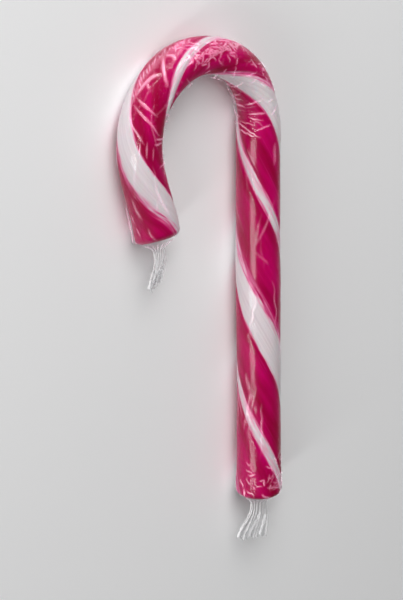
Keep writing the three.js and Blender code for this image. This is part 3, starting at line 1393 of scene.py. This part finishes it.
@dataclass(frozen=True)
class FilmWrap:
    """The clear film: one closed bag, tight on the rod, creased, with a gathered tail past each end.

    It stands a small gap off the sugar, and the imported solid's outside is at the outer gap. It is slack
    inside the crook. Its long edges are sealed in a lap with a bead along it, on the outer side.
    """

    section: Section
    name: str = "film_wrap"
    columns: int = 208
    stem_step: float = 0.55
    fine_step: float = 0.3
    fine_past_foot: float = 15.0
    fine_before_bend: float = 6.0
    rim_rings: int = 8
    rim_turn: float = math.radians(60)
    gap: float = 0.08
    outer_gap: float = 0.12
    slack: float = 0.5
    lap_height: float = 0.12
    lap_width: float = 3.5
    lap_rise: float = 1.4
    lap_bead: float = 0.2
    lap_bead_width: float = 0.24
    lap_at_foot: float = math.radians(-36)
    lap_at_hook: float = math.radians(-24)
    sag_height: float = 0.08
    sag_lobes: tuple[int, int] = (3, 5)
    sag_twist: Span = (0.11, -0.17)
    sag_wander: Wave = Wave(1.2, 0.07)
    sag_phase: float = 2.0
    crumple_scale: float = 0.55
    crumple_edge: float = 0.09
    crumple_height: float = 0.05
    crumple_on_straight: float = 0.35
    crumple_haze: float = 0.25
    hazy_height: float = 0.2
    foot_tail: GatheredTail = GatheredTail(End.FOOT, turn=0.2 * QUARTER_TURN, lift=1.2, sway=-2.4)
    hook_tail: GatheredTail = GatheredTail(End.HOOK, turn=0.32 * QUARTER_TURN, lift=-1.4, sway=2.2)

    @property
    def angle(self) -> np.ndarray:
        """Each column's angle round the rod."""
        return np.arange(self.columns) / self.columns * FULL_TURN

    def shift_to_solid(self, rings: int = 800) -> np.ndarray:
        """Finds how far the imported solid's frame is from the rod's own, from the outside that both have.

        Args:
            rings: How many places along the rod are looked at.

        Returns:
            The shift in millimetres.
        """
        along = np.linspace(0, self.section.route.length, rings)
        angle = np.broadcast_to(self.angle, (rings, self.columns))
        skin = self.section.skin(along, np.ones(rings), angle, self.plain_lift(along, self.outer_gap))
        low, high = (np.array(corner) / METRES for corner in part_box(NODE))
        return np.array([low[0] - skin[..., 0].min(), high[1] - skin[..., 1].max(), 0.0])

    def plain_lift(self, along: np.ndarray, gap: float) -> np.ndarray:
        """How far each ring of film stands off the rod before it is creased."""
        inner = np.maximum(0, -np.cos(self.angle)) ** 2
        return gap + self.slack * self.section.route.bend_share(along)[:, None] * inner

    def lap(self, along: np.ndarray) -> np.ndarray:
        """Raises the lap, a low step that ends in a bead.

        Args:
            along: One distance from the foot for each ring.

        Returns:
            The lap's height, a row for each ring.
        """
        bead = mix(self.lap_at_foot, self.lap_at_hook, along / self.section.route.length)
        past = nearest_turn(self.angle - bead[:, None]) * self.section.radius
        step = smoothstep(past, -self.lap_width, self.lap_rise - self.lap_width) * (past < 0)
        return self.lap_height * step + self.lap_bead * np.exp(-((past / self.lap_bead_width) ** 2))

    def sag(self, along: np.ndarray) -> np.ndarray:
        """Works out slow unevenness, where the film is a little slack.

        Args:
            along: One distance from the foot for each ring.

        Returns:
            The lift, a row for each ring.
        """
        ahead = along[:, None]
        first = self.sag_lobes[0] * self.angle + self.sag_twist[0] * ahead + self.sag_wander.at(ahead)
        second = self.sag_lobes[1] * self.angle + self.sag_twist[1] * ahead + self.sag_phase
        return self.sag_height * (2 + np.sin(first) + np.sin(second)) / 4

    def crumple(self, along: np.ndarray, points: np.ndarray) -> np.ndarray:
        """Crumples the film finely and at random, most of all round the bend.

        Args:
            along: One distance from the foot for each ring.
            points: The film's points, a row for each ring.

        Returns:
            How crumpled each point is, from 0 to 1.
        """
        places = points.reshape(-1, 3) * self.crumple_scale
        values = np.array([noise.noise(Vector(place)) for place in places.tolist()])
        rough = 1 - smoothstep(np.abs(values).reshape(points.shape[:-1]), 0.0, self.crumple_edge)
        return rough * mix(self.crumple_on_straight, 1.0, self.section.route.bend_share(along)[:, None])

    def rod_layout(self) -> tuple[np.ndarray, np.ndarray]:
        """Lays out the rings over the rod, closer together where the film is most creased.

        Returns:
            Each ring's distance from the foot, and its share of the full section.
        """
        section = self.section
        length, rounding = section.route.length, section.rim_rounding
        turns = np.linspace(self.rim_turn, 0, self.rim_rings)
        insets, shares = section.rim_inset(turns), section.rim_share(turns)
        hook_start = section.route.stem_length - self.fine_before_bend
        foot = np.arange(rounding + self.fine_step, self.fine_past_foot, self.fine_step)
        stem = np.arange(self.fine_past_foot, hook_start, self.stem_step)
        hook = np.arange(hook_start, length - rounding - self.fine_step / 2, self.fine_step)
        full = np.concatenate([foot, stem, hook])
        along = np.concatenate([insets, full, length - insets[::-1]])
        share = np.concatenate([shares, np.ones(len(full)), shares[::-1]])
        return along, share

    def rod_rings(self, creases: CreaseMap) -> FilmRings:
        """Shapes the film over the rod.

        Args:
            creases: The film's creases.

        Returns:
            The rings, from the foot to the hook.
        """
        along, share = self.rod_layout()
        angle = np.broadcast_to(self.angle, (len(along), self.columns))
        raised = creases.height(along, self.angle)
        lift = self.plain_lift(along, self.gap) + self.sag(along) + raised + self.lap(along) * share[:, None]
        crumpled = self.crumple(along, self.section.skin(along, share, angle, lift))
        points = self.section.skin(along, share, angle, lift + self.crumple_height * crumpled)
        points[..., 2] = np.maximum(points[..., 2], 0)
        crease = np.clip(raised / self.hazy_height + self.crumple_haze * crumpled, 0, 1)
        return FilmRings(points, crease, np.zeros_like(crease))

    def tail_rings(self, tail: GatheredTail) -> FilmRings:
        """Shapes a tail on the film's rim.

        Args:
            tail: The tail.

        Returns:
            The rings, outwards from the rim.
        """
        section = self.section
        at = np.array([section.route.length if tail.end is End.HOOK else 0.0])
        radius = section.rim_share(self.rim_turn) * section.half_sizes(at)[0][0] + self.gap
        return tail.rings(section, self.angle, Rim(float(radius), float(section.rim_inset(self.rim_turn))))

    def build(self, skin: Skin, creases: CreaseMap) -> bpy.types.Object:
        """Makes the film.

        Args:
            skin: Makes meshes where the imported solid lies.
            creases: The film's creases.

        Returns:
            The film, as one closed bag with its crease and gather values.
        """
        foot = self.tail_rings(self.foot_tail).backwards()
        rings = foot.joined(self.rod_rings(creases), self.tail_rings(self.hook_tail))
        count = len(rings.points)
        faces = skin.quads(count, self.columns)
        faces += self.sealed_edge(0, self.foot_tail)
        faces += self.sealed_edge((count - 1) * self.columns, self.hook_tail)
        film = skin.piece(self.name, rings.points.reshape(-1, 3), faces)
        for name, shares in (("crease", rings.crease), ("gather", rings.gather)):
            values = film.data.attributes.new(name, "FLOAT", "POINT")
            values.data.foreach_set("value", shares.astype(np.float32).ravel())
        return film

    def sealed_edge(self, start: int, tail: GatheredTail) -> list[list[int]]:
        """Seals the edge of a tail with a strip between its two faces.

        Args:
            start: The first point of the last ring.
            tail: The tail.

        Returns:
            The points of each face of the strip.
        """
        faces = []
        edge = tail.edge_column(self.columns)
        for column in range(self.columns // 2):
            ring = [edge + column, edge + column + 1, edge - column - 1, edge - column]
            corners = list(dict.fromkeys(start + place % self.columns for place in ring))
            faces.append(corners[::-1] if tail.end is End.HOOK else corners)
        return faces

    def dress(self, film: bpy.types.Object, finish: ClearFilm) -> None:
        """Gives the film its finish."""
        film.data.materials.append(finish.material())


@dataclass(frozen=True)
class Softbox:
    """An oval soft lamp.

    Where it is from the cane is in shares of right, up and towards the camera. Its brightness is that of its
    face, where pure white is 1. A lamp that isn't mirrored only lights.
    """

    name: str
    towards: tuple[float, float, float]
    distance: float
    size: Span
    brightness: float
    mirrored: bool = True

    @property
    def power(self) -> float:
        """The power that gives its face that brightness."""
        return math.pi**2 / 4 * self.size[0] * self.size[1] * self.brightness

    def hang(self, target: Vector, axes: tuple[Vector, Vector, Vector]) -> None:
        """Hangs the lamp, facing the cane.

        Args:
            target: The middle of the cane.
            axes: The camera's right, its up, and the way from the cane to it.
        """
        light = bpy.data.lights.new(self.name, "AREA")
        light.shape = "ELLIPSE"
        light.size, light.size_y = self.size
        light.energy = self.power
        towards = sum((axis * share for axis, share in zip(axes, self.towards)), Vector()).normalized()
        lamp = bpy.data.objects.new(self.name, light)
        lamp.location = target + towards * self.distance
        lamp.rotation_euler = towards.to_track_quat("Z", "Y").to_euler()
        lamp.visible_glossy = self.mirrored
        bpy.context.scene.collection.objects.link(lamp)


@dataclass(frozen=True)
class Studio:
    """The pale floor, the soft lamps, the even light around them and the camera, in metres."""

    view: tuple[float, float, float] = (-0.579, 0.342, 0.740)
    right: tuple[float, float, float] = (0.788, 0.0, 0.616)
    distance: float = 1.3
    frame_height: float = 0.1625
    sensor: float = 36.0
    farthest_seen: float = 10.0
    floor_size: float = 4.0
    floor_drop: float = 0.0001
    surround: Stops = ((0.0, 0.47), (0.1, 0.31), (0.3, 0.08), (1.0, 0.047))
    lamps: tuple[Softbox, ...] = (
        Softbox("overhead", (0.25, 0.25, 0.8), 1.1, (0.87, 0.87), 3.6, mirrored=False),
        Softbox("side", (-0.424, -0.608, 0.671), 1.1, (0.24, 0.62), 8.4),
        Softbox("head_end", (0.15, 0.64, 0.75), 1.0, (0.7, 0.4), 5.6),
    )

    def axes(self) -> tuple[Vector, Vector, Vector]:
        """Squares up the camera's directions.

        Returns:
            The camera's right, its up, and the way from the cane to it.
        """
        view = Vector(self.view).normalized()
        right = Vector(self.right)
        right = (right - view * right.dot(view)).normalized()
        return right, view.cross(right), view

    def lay_floor(self) -> None:
        """Lays the floor just under the cane."""
        half = self.floor_size / 2
        corners = [(-half, -half, 0), (half, -half, 0), (half, half, 0), (-half, half, 0)]
        mesh = bpy.data.meshes.new("floor")
        mesh.from_pydata(corners, [], [(0, 1, 2, 3)])
        mesh.materials.append(PaleFloor().material())
        floor = bpy.data.objects.new("floor", mesh)
        floor.location.z = -self.floor_drop
        bpy.context.scene.collection.objects.link(floor)

    def light(self, target: Vector) -> None:
        """Hangs the lamps and sets the even light around them, pale near the floor and dimmer with height.

        Args:
            target: The middle of the cane.
        """
        for lamp in self.lamps:
            lamp.hang(target, self.axes())
        w = Wiring(bpy.data.worlds.new("surround"), "ShaderNodeOutputWorld")
        way = w.add("ShaderNodeTexCoord").outputs["Generated"]
        height = w.add("ShaderNodeSeparateXYZ", {"Vector": way}).outputs["Z"]
        glow = w.add("ShaderNodeBackground", {"Color": w.ramp(height, self.surround)})
        bpy.context.scene.world = w.finish(glow)

    def set_camera(self, target: Vector) -> None:
        """Sets the camera to look at the cane.

        Args:
            target: The middle of the view.
        """
        right, up, view = self.axes()
        lens = bpy.data.cameras.new("camera")
        lens.sensor_fit = "VERTICAL"
        lens.sensor_height = self.sensor
        lens.lens = self.sensor * self.distance / self.frame_height
        lens.clip_end = self.farthest_seen
        camera = bpy.data.objects.new("camera", lens)
        turned = Matrix((right, up, view)).transposed().to_4x4()
        camera.matrix_world = Matrix.Translation(target + view * self.distance) @ turned
        bpy.context.scene.collection.objects.link(camera)
        bpy.context.scene.camera = camera
        bpy.context.scene.view_settings.view_transform = "Standard"


def main() -> None:
    """Builds the cane and its studio."""
    logging.basicConfig(level=logging.INFO, format="%(name)s: %(message)s")
    section = Section(Route())
    film_wrap = FilmWrap(section)
    skin = Skin(film_wrap.shift_to_solid())
    log.info("shift to the packed solid: %s mm", np.round(skin.shift, 3))

    sugar_rod = SugarRod(section)
    rod = sugar_rod.build(skin)
    sugar_rod.dress(rod, PulledSugar(section.band_widths))
    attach(rod, BODY)
    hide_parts(NODE)
    log.info("%s: %d faces", rod.name, len(rod.data.polygons))

    film = film_wrap.build(skin, CreaseMap(section.route))
    film_wrap.dress(film, ClearFilm())
    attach(film, BODY)
    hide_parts(NODE)
    log.info("%s: %d faces", film.name, len(film.data.polygons))

    studio = Studio()
    low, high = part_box(NODE)
    middle = (low + high) / 2
    studio.lay_floor()
    studio.light(middle)
    studio.set_camera(middle)
    log.info("studio set, with %d lamps", len(studio.lamps))


if __name__ == "__main__":
    main()
